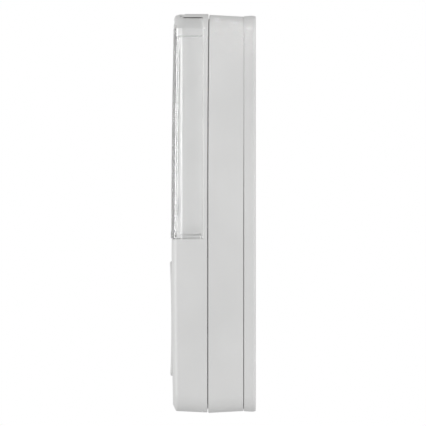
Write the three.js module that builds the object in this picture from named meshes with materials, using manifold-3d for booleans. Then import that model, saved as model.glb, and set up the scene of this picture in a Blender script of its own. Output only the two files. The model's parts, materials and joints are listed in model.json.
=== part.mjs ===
// Wall-mounted heating programmer: a wall plate with its terminals, and a control module whose upper front
// lies behind a clear hinged flap. Millimetres. The origin is the centre of the wall plate's rear face,
// X runs to the right seen from the front, Y into the wall and Z up, so the front faces -Y.
import * as THREE from "three";
import { mergeVertices } from "three/addons/utils/BufferGeometryUtils.js";
import Module from "manifold-3d";

const wasm = await Module();
wasm.setup();

// ---- Driving dimensions ----
const WIDTH = 90;
const HEIGHT = 132;
const CORNER_R = 6; // corners of the outline, seen from the front
const EDGE_R = 2.6; // rounding between the front and the sides
const GAP = 0.3; // clearance between touching pieces
// How far each layer's outline is shifted up
const PLATE_RISE = -0.08;
const REAR_RISE = -0.13;
const FRONT_RISE = 0.08; // at the shadow gap. The top runs level from there: the bottom takes all the draft

// Depths, all negative because the front faces -Y
const PLATE_FRONT_Y = -3.93;
const REAR_BACK_Y = -4.11;
const REAR_FRONT_Y = -15.76;
const FRONT_BACK_Y = -16.06;
const FASCIA_Y = -27.87; // lower front face, at the crown's highest line
const FLAP_Y = -27.98; // clear flap's front face, at the same line
const FLAP_LIP = 0.15; // bead along the flap's lower edge, where a finger lifts it
const PCB_BACK_Y = -17.0;
const PCB_FRONT_Y = -18.6;
const PCB_TOP_SIDE_Y = PCB_FRONT_Y - GAP; // where parts on the board's front start
const PCB_REAR_SIDE_Y = PCB_BACK_Y - 0.3; // parts on the rear are soldered a little into the board's plane
const DOME_Y = -20.6; // tops of the rubber domes

// The front is crowned: a shallow arc up and down, highest a little below the middle
const CROWN_Z = -10;
const CROWN_R = 3200;

// Moulding draft, as the outline's inset where the layers meet
const INSET_WALL = 0.43;
const INSET_SEAM = 0.57;
const REAR_BACK_INSET = 0.68;
const REAR_FRONT_INSET = 0.08;
const FRONT_DRAFT = 0.0265; // inset per mm forward of the shadow gap

// Along the top and bottom, the front edge's rounding is shallower, and taller above than below
const END_DEPTH = 0.42;
const END_STRETCH = { top: 0.46, bottom: -0.15 };

// Flap and the recess it closes
const FLAP_WALL = 1.6;
const FLAP_BACK_Y = -17.8;
const FLAP_BOTTOM_Z = -8.2;
const FLAP_TOP_Z = 64.6; // top of the flap's side walls
const FLAP_SIDE_X = 41.4; // inner face of its ears and side flanges
const RECESS_BACK_Y = -17.5;
const RECESS_FACE_Y = -24.95; // fascia behind the flap
const RECESS_INNER_Y = -22.9;
const RECESS_BOTTOM_Z = -8.5;
const RECESS_TOP_Z = 64.9;
const RECESS_SIDE_X = 41.1;
const HINGE_Y = -25.5;
const HINGE_Z = 64.2;
const KNUCKLE_R = 1.55;
const PIN_R = 0.6;
const LUG_X = [33.2, 41.1];

// Display
const WINDOW = { z: 34, width: 63, height: 41, ledge: 2 };
const LCD = { width: 61, height: 39.6 };

// Controls
const KEY_ROW_Z = 2;
const PROGRAM_KEY = { width: 9, height: 6.4, xs: [-33, -21, -9, 3], front: -25.15, back: -21.4 };
const SLIDER = { x: 24, travel: 4.5, knobWidth: 6, knobHeight: 4 };
const ROCKER = { z: -35.4, width: 20, height: 38.5, dishZ: -37.5, dishY: -28.2, dishR: 440 };
const ROCKER_AXLE_Y = -24.6;
const ROCKER_POST_Z = 13;
const OVERRIDE_KEY = { x: 29, z: -35.4, r: 5.5, front: -27.95, back: -21.4 };
const INDICATOR = { x: 29, z: -21, r: 1.5 };

// Fixings and wiring
const CASE_SCREWS = [
  { side: "left", end: "upper", x: -37, z: 50 },
  { side: "right", end: "upper", x: 37, z: 50 },
  { side: "left", end: "lower", x: -37, z: -44 },
  { side: "right", end: "lower", x: 37, z: -44 },
];
const CAPTIVE_X = 26;
const CAPTIVE_Y = -9.6;
const HOOK_X = 24;
const TERMINALS = 6;
const TERMINAL_PITCH = 9.5;
const TERMINAL_BLOCK = { x: 30, z: [9, 25], front: -12 };
const TERMINAL_SCREW_Z = 14.5;
const BLADE_Z = [18.8, 23.8];
const POCKET = { x: 42.4, z: [-33, 27], y: -13.2, wall: 1.6 }; // wiring chamber in the module's back
const CABLE_ENTRY = { z: -20, width: 40, height: 22 };
const FIXING_SLOT = { x: 30.15, z: -20, length: 9, width: 5 };

const FAR = 60; // past any face of the part, for cutting blocks

// ---- Materials ----
const finish = (color, roughness, metalness = 0, extra = {}) =>
  new THREE.MeshStandardMaterial({ color, roughness, metalness, ...extra });
const HOUSING = finish(0xe4e4e2, 0.55);
const PLATE = finish(0xdededc, 0.6);
const CLEAR = finish(0xf2f6f6, 0.08, 0, { transparent: true, opacity: 0.3 });
const KEYS = finish(0xc9cccd, 0.5);
const TERMINAL_PLASTIC = finish(0xb9bcb8, 0.5);
const BOARD = finish(0x1f6b45, 0.45);
const RUBBER = finish(0x8f9496, 0.8);
const LCD_GLASS = finish(0x9aa891, 0.15);
const LIGHT_GUIDE = finish(0xf4f4ee, 0.4);
const BLACK = finish(0x1c1c1e, 0.5);
const RELAY_CASE = finish(0x2d5fa8, 0.45);
const FILM_CAP = finish(0xd9b43a, 0.45);
const STEEL = finish(0xb5b8ba, 0.3, 1);
const BRASS = finish(0xc9a55a, 0.3, 1);

// ---- Solids ----

// A closed geometry as a manifold-3d solid.
function toSolid(geometry) {
  const bare = geometry.index ? geometry.toNonIndexed() : geometry.clone();
  bare.deleteAttribute("normal");
  bare.deleteAttribute("uv");
  const merged = mergeVertices(bare, 1e-4);
  return new wasm.Manifold(
    new wasm.Mesh({
      numProp: 3,
      vertProperties: merged.attributes.position.array,
      triVerts: new Uint32Array(merged.index.array),
    }),
  );
}

function toGeometry(solid) {
  const { vertProperties, triVerts } = solid.getMesh();
  const geometry = new THREE.BufferGeometry();
  geometry.setAttribute("position", new THREE.BufferAttribute(vertProperties, 3));
  geometry.setIndex(new THREE.BufferAttribute(triVerts, 1));
  geometry.computeVertexNormals();
  return geometry;
}

const join = (...solids) => solids.reduce((a, b) => a.add(b));
const cut = (solid, ...tools) => tools.reduce((a, b) => a.subtract(b), solid);

// A box between two values on each axis, given in either order.
function block(xs, ys, zs) {
  const size = [xs, ys, zs].map(([a, b]) => Math.abs(b - a));
  const middle = [xs, ys, zs].map(([a, b]) => (a + b) / 2);
  return toSolid(new THREE.BoxGeometry(...size).translate(...middle));
}

// The same box on the right and mirrored on the left.
const blocks = (xs, ys, zs) => [block(xs, ys, zs), block([-xs[0], -xs[1]], ys, zs)];

// A round bar along one axis, from one value to another; at holds its place on the other two axes.
function rod(axis, radius, [from, to], at, sides = 20) {
  const bar = new THREE.CylinderGeometry(radius, radius, Math.abs(to - from), sides);
  if (axis === "x") bar.rotateZ(Math.PI / 2);
  if (axis === "z") bar.rotateX(Math.PI / 2);
  const place = { x: 0, y: 0, z: 0, ...at, [axis]: (from + to) / 2 };
  return toSolid(bar.translate(place.x, place.y, place.z));
}

function roundedRectangle(width, height, radius) {
  const [w, h] = [width / 2 - radius, height / 2 - radius];
  return new THREE.Shape()
    .absarc(w, h, radius, 0, Math.PI / 2)
    .absarc(-w, h, radius, Math.PI / 2, Math.PI)
    .absarc(-w, -h, radius, Math.PI, 1.5 * Math.PI)
    .absarc(w, -h, radius, 1.5 * Math.PI, 2 * Math.PI);
}

// A shape drawn in X and Z, extruded towards the front from back to front, with an optional rounded edge.
function slab(shape, [back, front], { x = 0, z = 0, round = 0, curveSegments = 3 } = {}) {
  const geometry = new THREE.ExtrudeGeometry(shape, {
    depth: back - front - 2 * round,
    bevelEnabled: round > 0,
    bevelThickness: round,
    bevelSize: round,
    bevelOffset: -round,
    bevelSegments: 2,
    curveSegments,
  });
  return toSolid(geometry.rotateX(Math.PI / 2).translate(x, back - round, z));
}

// A shape drawn in Y and Z, extruded along X.
function prismX(shape, [from, to], round = 0) {
  const geometry = new THREE.ExtrudeGeometry(shape, {
    depth: to - from - 2 * round,
    bevelEnabled: round > 0,
    bevelThickness: round,
    bevelSize: round,
    bevelOffset: -round,
    bevelSegments: 2,
    curveSegments: 4,
  });
  const turn = new THREE.Matrix4().makeBasis(
    new THREE.Vector3(0, 1, 0),
    new THREE.Vector3(0, 0, 1),
    new THREE.Vector3(1, 0, 0),
  );
  return toSolid(geometry.applyMatrix4(turn).translate(from + round, 0, 0));
}

// ---- Outer form ----

const crown = (z) => (z - CROWN_Z) ** 2 / (2 * CROWN_R);
const frontDraft = (y) => FRONT_DRAFT * (FRONT_BACK_Y - y);
const frontRise = (y) => FRONT_RISE + frontDraft(y);

// One level of the outline: right half from top to bottom, then left half from bottom to top. edge is the
// rounding it belongs to: its radius, and the turn from the side (0) to the front (a right angle).
function ring(y, inset, { rise = 0, crowned = false, edge = { radius: 0, turn: 0 } } = {}) {
  const ARC_STEPS = 5;
  const SIDE_STEPS = 8;
  const radius = Math.max(CORNER_R - inset, 0.6);
  const [cx, cz] = [WIDTH / 2 - inset - radius, HEIGHT / 2 - inset - radius];
  const right = []; // x, z, and how far the outline faces up or down there
  for (let i = 0; i <= ARC_STEPS; i++) {
    const a = (Math.PI / 2) * (1 - i / ARC_STEPS);
    right.push([cx + radius * Math.cos(a), cz + radius * Math.sin(a), Math.sin(a) ** 2]);
  }
  for (let i = 1; i < SIDE_STEPS; i++) right.push([cx + radius, cz * (1 - (2 * i) / SIDE_STEPS), 0]);
  for (let i = 0; i <= ARC_STEPS; i++) {
    const a = (-Math.PI / 2) * (i / ARC_STEPS);
    right.push([cx + radius * Math.cos(a), -cz + radius * Math.sin(a), Math.sin(a) ** 2]);
  }
  const left = right.map(([x, z, end]) => [-x, z, end]).reverse();

  const [sine, cosine] = [Math.sin(edge.turn), Math.cos(edge.turn)];
  return [...right, ...left].map(([x, z, end]) => {
    const atSide = 1 - sine;
    const atEnd = END_DEPTH * (0.3 * (1 - sine) + 0.7 * cosine);
    const depth = edge.radius * ((1 - end) * atSide + end * atEnd);
    const stretch = z > 0 ? -END_STRETCH.top : END_STRETCH.bottom;
    const drop = end * stretch * edge.radius * (1 - cosine);
    return [x, y + depth + (crowned ? crown(z) : 0), z + rise + drop];
  });
}

// A closed body through rings listed from back to front. Its end faces join each right-hand point to the
// left-hand one at the same height, so that they follow the crown.
function loft(rings) {
  const n = rings[0].length;
  const index = [];
  for (let k = 0; k < rings.length - 1; k++) {
    for (let i = 0; i < n; i++) {
      const [a, b] = [k * n + i, k * n + ((i + 1) % n)];
      index.push(a, a + n, b, b, a + n, b + n);
    }
  }
  const last = (rings.length - 1) * n;
  for (let i = 0; i < n / 2 - 1; i++) {
    const [r0, r1, l1, l0] = [i, i + 1, n - 2 - i, n - 1 - i];
    index.push(r0, r1, l0, r1, l1, l0);
    index.push(last + r0, last + l0, last + r1, last + r1, last + l0, last + l1);
  }
  const geometry = new THREE.BufferGeometry();
  geometry.setAttribute("position", new THREE.Float32BufferAttribute(rings.flat(2), 3));
  geometry.setIndex(index);
  return toSolid(geometry);
}

// The module's crowned front, offset inwards, from the shadow gap to a front face with rounded edges.
function frontForm(inset, frontY, edgeRadius, backY = FRONT_BACK_Y) {
  const EDGE_STEPS = 4;
  const rings = [ring(backY, inset + frontDraft(backY), { rise: frontRise(backY) })];
  for (let i = 0; i <= EDGE_STEPS; i++) {
    const turn = (i / EDGE_STEPS) * (Math.PI / 2);
    const y = frontY + edgeRadius * (1 - Math.sin(turn));
    const inwards = inset + frontDraft(y) + edgeRadius * (1 - Math.cos(turn));
    const edge = { radius: edgeRadius, turn };
    rings.push(ring(frontY, inwards, { rise: frontRise(y), crowned: true, edge }));
  }
  return loft(rings);
}

// ---- Wall plate and wiring ----

function slot(x, z, length, width, turned = false) {
  const shape = roundedRectangle(turned ? width : length, turned ? length : width, width / 2 - 0.01);
  return slab(shape, [1, -3], { x, z });
}

function wallPlate() {
  const FLOOR_Y = -2.2;
  const RIM = 2.2;
  const EDGE = 0.6;
  const level = (depth, inset) => ring(depth, inset, { rise: PLATE_RISE });
  const body = loft([
    level(0, INSET_WALL + EDGE),
    level(-EDGE, INSET_WALL),
    level(PLATE_FRONT_Y, INSET_SEAM),
  ]);
  const tray = loft([level(FLOOR_Y, INSET_SEAM + RIM), level(PLATE_FRONT_Y - 1, INSET_SEAM + RIM)]);
  const entry = slab(roundedRectangle(CABLE_ENTRY.width, CABLE_ENTRY.height, 3), [1, -3], {
    z: CABLE_ENTRY.z,
  });
  const hooks = [-HOOK_X, HOOK_X].flatMap((x) => [
    block([x - 3, x + 3], [FLOOR_Y + 0.5, -8.6], [54, 56]),
    block([x - 3, x + 3], [-7, -8.6], [55.5, 58]),
  ]);
  const lugs = [-CAPTIVE_X, CAPTIVE_X].map((x) =>
    block([x - 3.5, x + 3.5], [FLOOR_Y + 0.5, -12.6], [-58.3, -53.3]),
  );
  const lugHoles = [-CAPTIVE_X, CAPTIVE_X].map((x) => rod("z", 1.55, [-59, -52], { x, y: CAPTIVE_Y }, 16));
  return cut(
    join(cut(body, tray), ...hooks, ...lugs),
    entry,
    ...lugHoles,
    slot(-FIXING_SLOT.x, FIXING_SLOT.z, FIXING_SLOT.length, FIXING_SLOT.width),
    slot(FIXING_SLOT.x, FIXING_SLOT.z, FIXING_SLOT.length, FIXING_SLOT.width),
    slot(0, 42, FIXING_SLOT.length, FIXING_SLOT.width, true),
    slot(0, -50, FIXING_SLOT.length, FIXING_SLOT.width, true),
  );
}

const terminalX = (i) => (i - (TERMINALS - 1) / 2) * TERMINAL_PITCH;
const terminalXs = Array.from({ length: TERMINALS }, (_, i) => terminalX(i));

function terminalBlock() {
  const { x, z, front } = TERMINAL_BLOCK;
  const body = block([-x, x], [-2.5, front], z);
  const wire = terminalXs.map((cx) => rod("z", 1.9, [z[0] - 1, 17.4], { x: cx, y: -6.4 }, 12));
  const driver = terminalXs.map((cx) =>
    rod("y", 2.35, [front - 1, -8], { x: cx, z: TERMINAL_SCREW_Z }, 16),
  );
  const blade = terminalXs.map((cx) =>
    block([cx - 0.75, cx + 0.75], [front - 1, -4.2], [BLADE_Z[0] - 0.4, BLADE_Z[1] + 0.4]),
  );
  const groove = terminalXs
    .slice(0, -1)
    .map((cx) => cx + TERMINAL_PITCH / 2)
    .map((cx) => block([cx - 0.4, cx + 0.4], [front - 1, -10.8], z));
  return cut(body, ...wire, ...driver, ...blade, ...groove);
}

// A screw whose head faces the front or the outside, with a straight driver slot; its axis is Y.
function slottedScrew(headR, headLength, shankR, length) {
  const head = rod("y", headR, [0, -headLength], {}, 20);
  const shank = rod("y", shankR, [length, -0.2], {}, 14);
  const driverSlot = block([-headR - 1, headR + 1], [-headLength - 1, -headLength + 0.7], [-0.35, 0.35]);
  return cut(join(head, shank), driverSlot);
}

// A screw with a cross recess, its axis Y and its head towards the wall.
function crossScrew(headR, headLength, shankR, length) {
  const head = rod("y", headR, [0, headLength], {}, 20);
  const shank = rod("y", shankR, [0.2, -length], {}, 14);
  const arms = [
    block([-1.4, 1.4], [headLength - 1, headLength + 1], [-0.35, 0.35]),
    block([-0.35, 0.35], [headLength - 1, headLength + 1], [-1.4, 1.4]),
  ];
  return cut(join(head, shank), ...arms);
}

function earthTerminal() {
  const body = block([-41, -33.5], [-2.5, -9], [10, 20]);
  return cut(
    body,
    rod("z", 1.9, [9, 17], { x: -37.25, y: -5.4 }, 12),
    rod("y", 2.0, [-10, -5.4], { x: -37.25, z: 14.5 }, 14),
  );
}

// ---- Module housing ----

function rearHousing() {
  const WALL = 2;
  const BACK_WALL_Y = -5.9;
  const RIM_EDGE = [0.3, 0.55]; // chamfer at the shadow gap: along the depth, and inwards
  const level = (depth, inset) => ring(depth, inset, { rise: REAR_RISE });
  const outer = loft([
    level(REAR_BACK_Y, REAR_BACK_INSET + 0.15),
    level(REAR_BACK_Y - 0.15, REAR_BACK_INSET),
    level(REAR_FRONT_Y + RIM_EDGE[0], REAR_FRONT_INSET),
    level(REAR_FRONT_Y, RIM_EDGE[1]),
  ]);
  const hollow = loft([level(BACK_WALL_Y, REAR_BACK_INSET + WALL), level(REAR_FRONT_Y - 1, WALL + 0.1)]);
  const STEP_Y = -15.98;
  const step = cut(
    loft([level(-13.8, 1.3), level(STEP_Y, 0.95)]),
    loft([level(-13, 3.6), level(STEP_Y - 1, 3.6)]),
  );
  const { x, z, y, wall } = POCKET;
  const pocketBody = block([-x - 0.4, x + 0.4], [REAR_BACK_Y, y - wall], [z[0] - wall, z[1] + wall]);
  const pocket = block([-x, x], [REAR_BACK_Y + 1, y], z);
  const towers = CASE_SCREWS.map((s) => rod("y", 4.2, [REAR_BACK_Y, -16.6], s));
  const towerHoles = CASE_SCREWS.flatMap((s) => [
    rod("y", 3.1, [REAR_BACK_Y + 1, -7], s),
    rod("y", 1.9, [-6, -17], s, 16),
  ]);
  const bosses = [-CAPTIVE_X, CAPTIVE_X].map((cx) => rod("z", 4.4, [-65.4, -59.6], { x: cx, y: CAPTIVE_Y }));
  const bossHoles = [-CAPTIVE_X, CAPTIVE_X].flatMap((cx) => [
    rod("z", 3.1, [-67, -62.9], { x: cx, y: CAPTIVE_Y }),
    rod("z", 1.8, [-63.5, -59], { x: cx, y: CAPTIVE_Y }, 16),
  ]);
  const hookSlots = [-HOOK_X, HOOK_X].map((cx) =>
    block([cx - 3.6, cx + 3.6], [REAR_BACK_Y + 1, BACK_WALL_Y - 1], [53.6, 56.4]),
  );
  const lugSlots = [-CAPTIVE_X, CAPTIVE_X].map((cx) =>
    block([cx - 4, cx + 4], [REAR_BACK_Y + 1, BACK_WALL_Y - 1], [-58.8, -52.8]),
  );
  const bladeSlots = terminalXs.map((cx) =>
    block([cx - 0.9, cx + 0.9], [y + 1, y - wall - 1], [BLADE_Z[0] - 0.9, BLADE_Z[1] + 0.9]),
  );
  return cut(
    join(cut(outer, hollow), step, pocketBody, ...towers, ...bosses),
    pocket,
    ...towerHoles,
    ...bossHoles,
    ...hookSlots,
    ...lugSlots,
    ...bladeSlots,
  );
}

function windowOpening() {
  const { z, width, height, ledge } = WINDOW;
  const rebate = slab(roundedRectangle(width + 2 * GAP, height + 2 * GAP, 2.3), [-23.65, -26], { z });
  const through = slab(roundedRectangle(width - 2 * ledge, height - 2 * ledge, 1), [-21, -26], { z });
  return join(rebate, through);
}

function keyOpenings() {
  const { width, height } = PROGRAM_KEY;
  const oblong = roundedRectangle(width + 2 * GAP, height + 2 * GAP, height / 2 + GAP - 0.01);
  const program = PROGRAM_KEY.xs.map((x) => slab(oblong, [-21, -26], { x, z: KEY_ROW_Z }));
  const { x, travel, knobWidth, knobHeight } = SLIDER;
  const sliderSlot = slab(
    roundedRectangle(knobWidth + 2 * travel + 1.6, knobHeight + 2 * GAP + 0.4, 1),
    [-21, -26],
    { x, z: KEY_ROW_Z },
  );
  const rocker = slab(
    roundedRectangle(ROCKER.width + 2 * 0.35, ROCKER.height + 2 * 0.4, 2.4),
    [-24, -30],
    { z: ROCKER.z },
  );
  const sides = [-1, 1].flatMap((side) => [
    rod("y", OVERRIDE_KEY.r + 0.35, [-24, -30], { x: side * OVERRIDE_KEY.x, z: OVERRIDE_KEY.z }, 28),
    rod("y", INDICATOR.r + GAP, [-24, -30], { x: side * INDICATOR.x, z: INDICATOR.z }, 16),
  ]);
  return [...program, sliderSlot, rocker, ...sides];
}

function frontHousing() {
  const WALL = 1.9;
  const INNER_Y = -25.9;
  const TOP_CAVITY_Z = 63.6;
  const NOTCH_Z = 62.2; // floor of the notch that the flap's knuckle turns in
  const NOTCH_Y = -23.6;
  const outer = frontForm(0, FASCIA_Y, EDGE_R);

  const rear = loft([FRONT_BACK_Y + 1, -16.8].map((y) => ring(y, WALL, { rise: FRONT_RISE })));
  const lower = frontForm(WALL, INNER_Y, EDGE_R - WALL, FRONT_BACK_Y + 1).intersect(
    block([-FAR, FAR], [-FAR, FAR], [-FAR - 10, RECESS_BOTTOM_Z - 1.6]),
  );
  const upper = block([-39.5, 39.5], [FRONT_BACK_Y + 1, RECESS_INNER_Y], [RECESS_BOTTOM_Z - 2, TOP_CAVITY_Z]);

  const faceCut = block([-FAR, FAR], [-FAR, RECESS_FACE_Y], [RECESS_BOTTOM_Z, NOTCH_Z + 1]);
  const sideCuts = blocks([RECESS_SIDE_X, FAR], [-FAR, RECESS_BACK_Y], [RECESS_BOTTOM_Z, RECESS_TOP_Z]);
  const notch = block([-FAR, FAR], [-FAR, NOTCH_Y], [NOTCH_Z, FAR + 20]);

  const lugs = [-1, 1].flatMap((side) => {
    const xs = LUG_X.map((x) => side * x).sort((a, b) => a - b);
    return [
      rod("x", KNUCKLE_R, xs, { y: HINGE_Y, z: HINGE_Z }),
      block(xs, [HINGE_Y, NOTCH_Y + 0.5], [NOTCH_Z + 0.4, HINGE_Z + KNUCKLE_R]),
    ];
  });
  const pinHoles = [-1, 1].map((side) =>
    rod("x", PIN_R + GAP, [side * 32, side * 38.8].sort((a, b) => a - b), { y: HINGE_Y, z: HINGE_Z }, 12),
  );

  const bosses = CASE_SCREWS.map((s) =>
    rod("y", 3.4, [PCB_TOP_SIDE_Y, s.end === "upper" ? RECESS_INNER_Y - 0.5 : INNER_Y - 0.2], s),
  );
  const bossHoles = CASE_SCREWS.map((s) => rod("y", 1.8, [PCB_TOP_SIDE_Y + 1, -22.3], s, 16));

  const bracketZ = [ROCKER.z - 2.4, ROCKER.z + 2.4];
  const brackets = blocks([11.2, 13.6], [INNER_Y - 0.2, -22.9], bracketZ);
  const axleHole = rod("x", 1.3, [-20, 20], { y: ROCKER_AXLE_Y, z: ROCKER.z }, 16);

  const shell = cut(outer, rear, lower, upper, faceCut, ...sideCuts, notch);
  return cut(
    join(shell, ...lugs, ...bosses, ...brackets),
    ...pinHoles,
    ...bossHoles,
    axleHole,
    windowOpening(),
    ...keyOpenings(),
  );
}

// ---- Flap ----

function flap() {
  const outer = frontForm(0, FLAP_Y, EDGE_R);
  const inner = frontForm(FLAP_WALL, FLAP_Y + FLAP_WALL, EDGE_R - FLAP_WALL, FRONT_BACK_Y + 1);
  const extent = block([-FAR, FAR], [-FAR, FLAP_BACK_Y], [FLAP_BOTTOM_Z, FLAP_TOP_Z]);
  const middle = [-FLAP_SIDE_X, FLAP_SIDE_X];

  const walls = cut(
    outer.subtract(inner).intersect(extent),
    block(middle, [-FAR, 0], [HINGE_Z, FAR + 20]),
    block(middle, [HINGE_Y + 0.3, 0], [FAR, FAR + 20]),
  );
  const knuckle = rod("x", KNUCKLE_R, [-43, 43], { y: HINGE_Y, z: HINGE_Z }, 20).intersect(outer);
  const ears = blocks([FLAP_SIDE_X, FAR], [-FAR, FLAP_BACK_Y], [58.8, FLAP_TOP_Z]).map((ear) =>
    ear.intersect(outer),
  );
  const flange = outer
    .intersect(block([-FAR, FAR], [-FAR, FLAP_BACK_Y], [FLAP_BOTTOM_Z, FLAP_BOTTOM_Z + FLAP_WALL]))
    .subtract(block(middle, [RECESS_FACE_Y - 0.35, 0], [-FAR, FAR]));

  const lip = frontForm(0, FLAP_Y - FLAP_LIP, EDGE_R)
    .intersect(block([-FAR, FAR], [-FAR, -24], [FLAP_BOTTOM_Z, FLAP_BOTTOM_Z + 2.2]))
    .subtract(inner);
  const lugNotches = blocks([LUG_X[0] - GAP, LUG_X[1] + GAP], [-FAR, -20], [HINGE_Z - 2.2, FAR + 20]);
  const pinHoles = [-1, 1].map((side) =>
    rod("x", PIN_R + GAP, [side * 30.2, side * 34].sort((a, b) => a - b), { y: HINGE_Y, z: HINGE_Z }, 12),
  );
  return cut(join(walls, knuckle, ...ears, flange, lip), ...lugNotches, ...pinHoles);
}

// ---- Controls ----

function programKey() {
  const { width, height, front, back } = PROGRAM_KEY;
  const cap = slab(roundedRectangle(width, height, height / 2 - 0.2), [back, front], { round: 0.4 });
  const flange = slab(roundedRectangle(width + 1.6, height + 1.6, 1.5), [back, back - 0.9]);
  return join(cap, flange);
}

function overrideKey() {
  const { r, front, back } = OVERRIDE_KEY;
  const cap = rod("y", r, [front + 0.3, -24.9], {}, 28);
  const top = toSolid(
    new THREE.CylinderGeometry(r, r - 0.4, 0.4, 28).translate(0, front + 0.2, 0),
  );
  return join(cap, top, rod("y", r + 0.8, [-25.5, -24.9], {}, 28), rod("y", 2, [-25, back], {}, 12));
}

function rockerKey() {
  const { z, width, height, dishZ, dishY, dishR } = ROCKER;
  const BACK_Y = -26.1;
  const CORNER = 0.6;
  const [bottom, top] = [z - height / 2, z + height / 2];
  const dish = (at) => dishY - (at - dishZ) ** 2 / (2 * dishR);
  const profile = new THREE.Shape();
  profile.moveTo(BACK_Y, bottom);
  profile.lineTo(BACK_Y, top);
  profile.lineTo(dish(top) + CORNER, top);
  profile.quadraticCurveTo(dish(top), top, dish(top - CORNER), top - CORNER);
  const STEPS = 10;
  for (let i = 1; i <= STEPS; i++) {
    const at = top - CORNER - (i / STEPS) * (height - 2 * CORNER);
    profile.lineTo(dish(at), at);
  }
  profile.quadraticCurveTo(dish(bottom), bottom, dish(bottom) + CORNER, bottom);
  const outline = slab(roundedRectangle(width, height, 2.1), [-20, -30], { z });
  const cap = prismX(profile, [-width / 2, width / 2], 0.4).intersect(outline);
  const lug = block([-8, 8], [BACK_Y - 0.3, -23.0], [z - 2.2, z + 2.2]);
  const posts = [-ROCKER_POST_Z, ROCKER_POST_Z].map((dz) =>
    rod("y", 1.8, [BACK_Y - 0.3, OVERRIDE_KEY.back], { z: z + dz }, 14),
  );
  return cut(join(cap, lug, ...posts), rod("x", 1.3, [-20, 20], { y: ROCKER_AXLE_Y, z }, 16));
}

function modeSlider() {
  const { knobWidth, knobHeight } = SLIDER;
  const knob = slab(roundedRectangle(knobWidth, knobHeight, 0.8), [-22, -25.15], { round: 0.3 });
  const grip = [-1.4, 0, 1.4].map((x) => block([x - 0.3, x + 0.3], [-26, -24.75], [-3, 3]));
  const shutter = block([-9.5, 9.5], [-21.7, -22.2], [-4, 4]);
  const stem = block([-1.2, 1.2], [-20.2, -21.9], [-0.9, 0.9]);
  return join(cut(knob, ...grip), shutter, stem);
}

function slideSwitch() {
  const body = block([-7.5, 7.5], [PCB_TOP_SIDE_Y, -21.2], [-3.5, 3.5]);
  return cut(body, block([-6.3, 6.3], [-19.6, -22], [-1.3, 1.3]));
}

function keypadMat() {
  const BASE_Y = PCB_TOP_SIDE_Y - 0.4;
  const base = join(
    block([-38.4, 15.5], [PCB_TOP_SIDE_Y, BASE_Y], [-4, 8.5]),
    block([-33, 33], [PCB_TOP_SIDE_Y, BASE_Y], [-58, -3.9]),
  );
  const dome = (x, z, r) => rod("y", r, [PCB_TOP_SIDE_Y, DOME_Y], { x, z }, 16);
  const domes = [
    ...PROGRAM_KEY.xs.map((x) => dome(x, KEY_ROW_Z, 2.6)),
    dome(-OVERRIDE_KEY.x, OVERRIDE_KEY.z, 2.6),
    dome(OVERRIDE_KEY.x, OVERRIDE_KEY.z, 2.6),
    dome(0, ROCKER.z - ROCKER_POST_Z, 2.6),
    dome(0, ROCKER.z + ROCKER_POST_Z, 2.6),
  ];
  const ledHoles = [-1, 1].map((side) =>
    rod("y", 2.6, [-18, -20], { x: side * INDICATOR.x, z: INDICATOR.z }, 14),
  );
  return cut(join(base, ...domes), ...ledHoles);
}

// ---- Display ----

function frameAround(width, height, wall, [back, front], z) {
  const outer = slab(roundedRectangle(width + 2 * wall, height + 2 * wall, 1), [back, front], { z });
  return cut(outer, slab(roundedRectangle(width, height, 0.5), [back + 1, front - 1], { z }));
}

const plateY = ([back, front], width, height, z, radius = 0.4) =>
  slab(roundedRectangle(width, height, radius), [back, front], { z });

// ---- Circuit board ----

function mainPcb() {
  const board = slab(roundedRectangle(77.2, 124, 2), [PCB_BACK_Y, PCB_FRONT_Y]);
  return cut(board, ...CASE_SCREWS.map((s) => rod("y", 1.9, [-16, -20], s, 16)));
}

function cellClip() {
  const bridge = block([-3, 3], [-13.5, -14.1], [-58.2, -35.8]);
  const legs = [-58.2, -36.4].map((z) => block([-3, 3], [-13.5, -16.7], [z, z + 0.6]));
  return join(bridge, ...legs);
}

const backPart = (height) => [-16.7, -16.7 + height]; // stands on the board's rear, towards the wall

// ---- Assembly ----

function node(name, solid, material, position = [0, 0, 0]) {
  const mesh = new THREE.Mesh(toGeometry(solid), material);
  mesh.name = name;
  mesh.position.set(...position);
  return mesh;
}

function wallBase() {
  const group = new THREE.Group();
  const screw = slottedScrew(2.0, 1.2, 1.5, 2.0);
  group.add(node("wall_plate", wallPlate(), PLATE));
  group.add(node("terminal_block", terminalBlock(), TERMINAL_PLASTIC));
  terminalXs.forEach((x, i) =>
    group.add(node(`terminal_screw_${i + 1}`, screw, STEEL, [x, -10.3, TERMINAL_SCREW_Z])),
  );
  group.add(node("earth_terminal", earthTerminal(), BRASS));
  group.add(node("earth_screw", slottedScrew(1.7, 1.0, 1.3, 1.8), STEEL, [-37.25, -8.0, 14.5]));
  return group;
}

function housings() {
  const group = new THREE.Group();
  group.add(node("rear_housing", rearHousing(), HOUSING));
  group.add(node("front_housing", frontHousing(), HOUSING));
  const caseScrew = crossScrew(2.7, 2.0, 1.5, 15.3);
  CASE_SCREWS.forEach((s) =>
    group.add(node(`case_screw_${s.end}_${s.side}`, caseScrew, STEEL, [s.x, -6.7, s.z])),
  );
  const captive = slottedScrew(2.8, 2.0, 1.25, 11.0);
  [-1, 1].forEach((side) => {
    const holder = new THREE.Group();
    holder.position.set(side * CAPTIVE_X, CAPTIVE_Y, -63.2);
    holder.rotation.x = Math.PI / 2; // the head faces down
    holder.add(node(`captive_screw_${side < 0 ? "left" : "right"}`, captive, STEEL));
    group.add(holder);
  });
  return group;
}

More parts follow.
